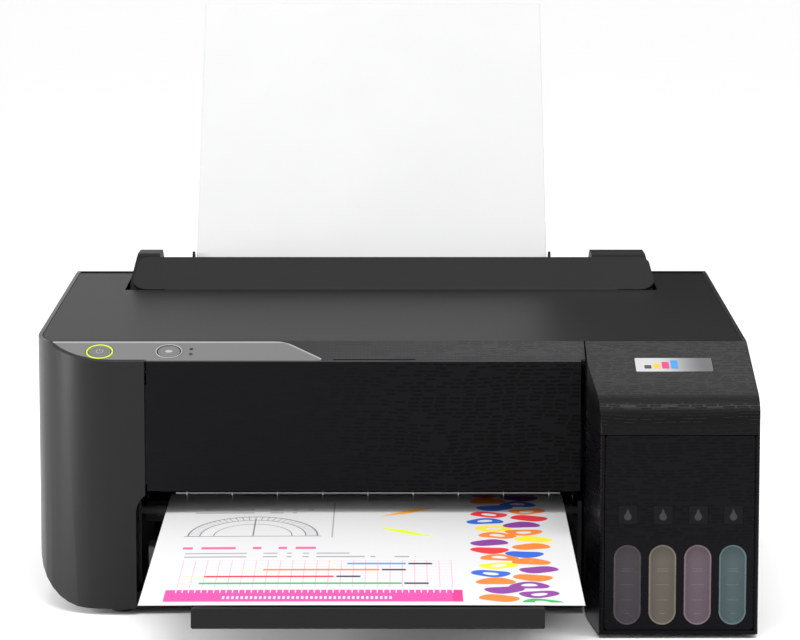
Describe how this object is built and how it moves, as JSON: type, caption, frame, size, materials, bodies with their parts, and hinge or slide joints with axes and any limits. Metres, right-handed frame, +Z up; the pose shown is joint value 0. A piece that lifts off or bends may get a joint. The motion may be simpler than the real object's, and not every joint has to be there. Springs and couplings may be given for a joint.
{
  "type": "inkjet printer",
  "caption": "Compact ink-tank inkjet printer with a rear sheet feeder, a hinged top cover, a front output tray and side ink tanks with level windows.",
  "frame": {"origin": "middle of the bounding box at the level of the feet, with the tray out and the sheets loaded", "axes": "+Z up, +Y from the front (output tray) to the rear (sheet feeder), +X from the control panel to the ink tanks"},
  "size_m": [0.375, 0.572, 0.3086],
  "materials": {
    "casing": "satin near-black moulded plastic",
    "cover": "satin dark grey moulded plastic",
    "panel": "satin mid-grey moulded panel",
    "button": "satin grey key",
    "light": "glowing yellow-green light guide",
    "gloss": "glossy smoked plastic",
    "inner": "black moulded plastic",
    "steel": "plated steel",
    "rubber": "black rubber",
    "gear": "natural acetal",
    "board": "green circuit board",
    "paper": "plain white paper",
    "badge": "silver badge foil",
    "felt": "white absorber felt",
    "ink_black": "tank plastic with dark ink behind it",
    "ink_yellow": "tank plastic with yellow ink behind it",
    "ink_magenta": "tank plastic with magenta ink behind it",
    "ink_cyan": "tank plastic with cyan ink behind it"
  },
  "bodies": {
    "housing": {"base_tray": "inner", "left_casing": "casing", "right_casing": "casing", "rear_cover": "casing", "feeder_frame": "inner", "tank_housing": "gloss", "tank_front_panel": "gloss", "ink_tank_black": "ink_black", "ink_tank_yellow": "ink_yellow", "ink_tank_magenta": "ink_magenta", "ink_tank_cyan": "ink_cyan", "side_frame_left": "steel", "side_frame_right": "steel", "carriage_beam": "steel", "platen": "inner", "timing_belt": "rubber", "carriage_motor": "steel", "feed_motor": "steel", "cap_station": "inner", "ink_tubes": "inner", "main_board": "board", "power_supply": "inner", "waste_ink_pad": "felt", "ac_inlet": "inner", "usb_port": "steel", "foot_front_left": "rubber", "foot_front_right": "rubber", "foot_rear_left": "rubber", "foot_rear_right": "rubber"},
    "printer_cover": {"printer_cover": "cover", "control_panel": "panel", "power_ring": "light"},
    "power_button": {"power_button": "button"},
    "feed_button": {"feed_button": "button"},
    "feeder_guard": {"feeder_guard": "casing"},
    "edge_guide_left": {"edge_guide_left": "inner"},
    "edge_guide_right": {"edge_guide_right": "inner"},
    "guide_pinion": {"guide_pinion": "gear"},
    "paper_support": {"paper_support": "inner"},
    "support_extension": {"support_extension": "inner"},
    "loaded_sheets": {"loaded_sheets": "paper"},
    "output_tray": {"output_tray": "inner"},
    "tray_extension": {"tray_extension": "inner"},
    "tray_stopper": {"tray_stopper": "inner"},
    "printed_page": {"printed_page": "paper"},
    "tank_lid": {"tank_lid": "casing", "badge_plate": "badge"},
    "carriage": {"carriage": "inner", "print_head": "inner"},
    "motor_pulley": {"motor_pulley": "gear"},
    "idler_pulley": {"idler_pulley": "gear"},
    "feed_roller": {"feed_roller": "steel", "feed_gear": "gear"},
    "feed_pinion": {"feed_pinion": "gear"},
    "eject_roller": {"eject_roller": "rubber"},
    "pickup_roller": {"pickup_roller": "rubber"},
    "tank_cap_black": {"tank_cap_black": "ink_black"},
    "tank_cap_yellow": {"tank_cap_yellow": "ink_yellow"},
    "tank_cap_magenta": {"tank_cap_magenta": "ink_magenta"},
    "tank_cap_cyan": {"tank_cap_cyan": "ink_cyan"}
  },
  "joints": [
    {"name": "cover_hinge", "type": "hinge", "parent": "housing", "child": "printer_cover", "pos_m": [0, 0.15304, 0.147], "axis": [-1, 0, 0], "range_deg": [0, 60]},
    {"name": "power_button_press", "type": "slide", "parent": "printer_cover", "child": "power_button", "axis": [0, 0.3872, -0.922], "range_m": [0, 0.0007], "stiffness_N_per_m": 400, "springref_m": -0.0004},
    {"name": "feed_button_press", "type": "slide", "parent": "printer_cover", "child": "feed_button", "axis": [0, 0.3872, -0.922], "range_m": [0, 0.0007], "stiffness_N_per_m": 400, "springref_m": -0.0004},
    {"name": "guard_hinge", "type": "hinge", "parent": "housing", "child": "feeder_guard", "pos_m": [0, 0.09404, 0.1488], "axis": [1, 0, 0], "range_deg": [0, 75]},
    {"name": "edge_guide_left_slide", "type": "slide", "parent": "housing", "child": "edge_guide_left", "axis": [-1, 0, 0], "range_m": [0, 0.003]},
    {"name": "edge_guide_right_slide", "type": "slide", "parent": "housing", "child": "edge_guide_right", "axis": [1, 0, 0], "range_m": [0, 0.003]},
    {"name": "guide_pinion_spin", "type": "hinge", "parent": "housing", "child": "guide_pinion", "pos_m": [-0.012, 0.13699, 0.10774], "axis": [0, -0.788, 0.6157], "range_deg": [-1, 26]},
    {"name": "paper_support_slide", "type": "slide", "parent": "housing", "child": "paper_support", "axis": [0, 0.6157, 0.788], "range_m": [-0.07, 0]},
    {"name": "support_extension_slide", "type": "slide", "parent": "paper_support", "child": "support_extension", "axis": [0, 0.6157, 0.788], "range_m": [-0.075, 0]},
    {"name": "loaded_sheets_slide", "type": "slide", "parent": "housing", "child": "loaded_sheets", "axis": [0, 0.6157, 0.788], "range_m": [0, 0.1]},
    {"name": "output_tray_slide", "type": "slide", "parent": "housing", "child": "output_tray", "axis": [0, 1, 0], "range_m": [0, 0.1]},
    {"name": "tray_extension_slide", "type": "slide", "parent": "output_tray", "child": "tray_extension", "axis": [0, 1, 0], "range_m": [0, 0.085]},
    {"name": "tray_stopper_hinge", "type": "hinge", "parent": "tray_extension", "child": "tray_stopper", "pos_m": [0, -0.28421, 0.0432], "axis": [-1, 0, 0], "range_deg": [0, 130]},
    {"name": "printed_page_slide", "type": "slide", "parent": "housing", "child": "printed_page", "axis": [0, 0.999, 0.0448], "range_m": [-0.1, 0]},
    {"name": "tank_lid_hinge", "type": "hinge", "parent": "housing", "child": "tank_lid", "pos_m": [0.147, -0.07846, 0.1422], "axis": [-1, 0, 0], "range_deg": [0, 75]},
    {"name": "tank_cap_black_hinge", "type": "hinge", "parent": "housing", "child": "tank_cap_black", "pos_m": [0.1207, -0.10846, 0.09165], "axis": [-1, 0, 0], "range_deg": [0, 110]},
    {"name": "tank_cap_yellow_hinge", "type": "hinge", "parent": "housing", "child": "tank_cap_yellow", "pos_m": [0.13857, -0.10846, 0.09165], "axis": [-1, 0, 0], "range_deg": [0, 110]},
    {"name": "tank_cap_magenta_hinge", "type": "hinge", "parent": "housing", "child": "tank_cap_magenta", "pos_m": [0.15644, -0.10846, 0.09165], "axis": [-1, 0, 0], "range_deg": [0, 110]},
    {"name": "tank_cap_cyan_hinge", "type": "hinge", "parent": "housing", "child": "tank_cap_cyan", "pos_m": [0.17431, -0.10846, 0.09165], "axis": [-1, 0, 0], "range_deg": [0, 110]},
    {"name": "carriage_slide", "type": "slide", "parent": "housing", "child": "carriage", "axis": [1, 0, 0], "range_m": [-0.24, 0]},
    {"name": "motor_pulley_spin", "type": "hinge", "parent": "housing", "child": "motor_pulley", "pos_m": [0.168, 0.01004, 0.1], "axis": [0, 1, 0], "range_deg": [-2060, 5]},
    {"name": "idler_pulley_spin", "type": "hinge", "parent": "housing", "child": "idler_pulley", "pos_m": [-0.152, 0.01004, 0.1], "axis": [0, 1, 0], "range_deg": [-2060, 5]},
    {"name": "feed_roller_spin", "type": "hinge", "parent": "housing", "child": "feed_roller", "pos_m": [0, -0.02346, 0.05], "axis": [1, 0, 0], "continuous": true},
    {"name": "feed_pinion_spin", "type": "hinge", "parent": "housing", "child": "feed_pinion", "pos_m": [-0.14, 0.00254, 0.05], "axis": [1, 0, 0], "continuous": true},
    {"name": "eject_roller_spin", "type": "hinge", "parent": "housing", "child": "eject_roller", "pos_m": [0, -0.07146, 0.05145], "axis": [1, 0, 0], "continuous": true},
    {"name": "pickup_roller_spin", "type": "hinge", "parent": "housing", "child": "pickup_roller", "pos_m": [-0.012, 0.10407, 0.09793], "axis": [1, 0, 0], "continuous": true}
  ],
  "couplings": [
    {"joint": "edge_guide_right_slide", "follows": "edge_guide_left_slide", "ratio": 1},
    {"joint": "guide_pinion_spin", "follows": "edge_guide_left_slide", "rad_per_m": 142.86},
    {"joint": "motor_pulley_spin", "follows": "carriage_slide", "rad_per_m": 149},
    {"joint": "idler_pulley_spin", "follows": "carriage_slide", "rad_per_m": 149},
    {"joint": "feed_pinion_spin", "follows": "feed_roller_spin", "ratio": -3.3333},
    {"joint": "eject_roller_spin", "follows": "feed_roller_spin", "ratio": 2}
  ]
}
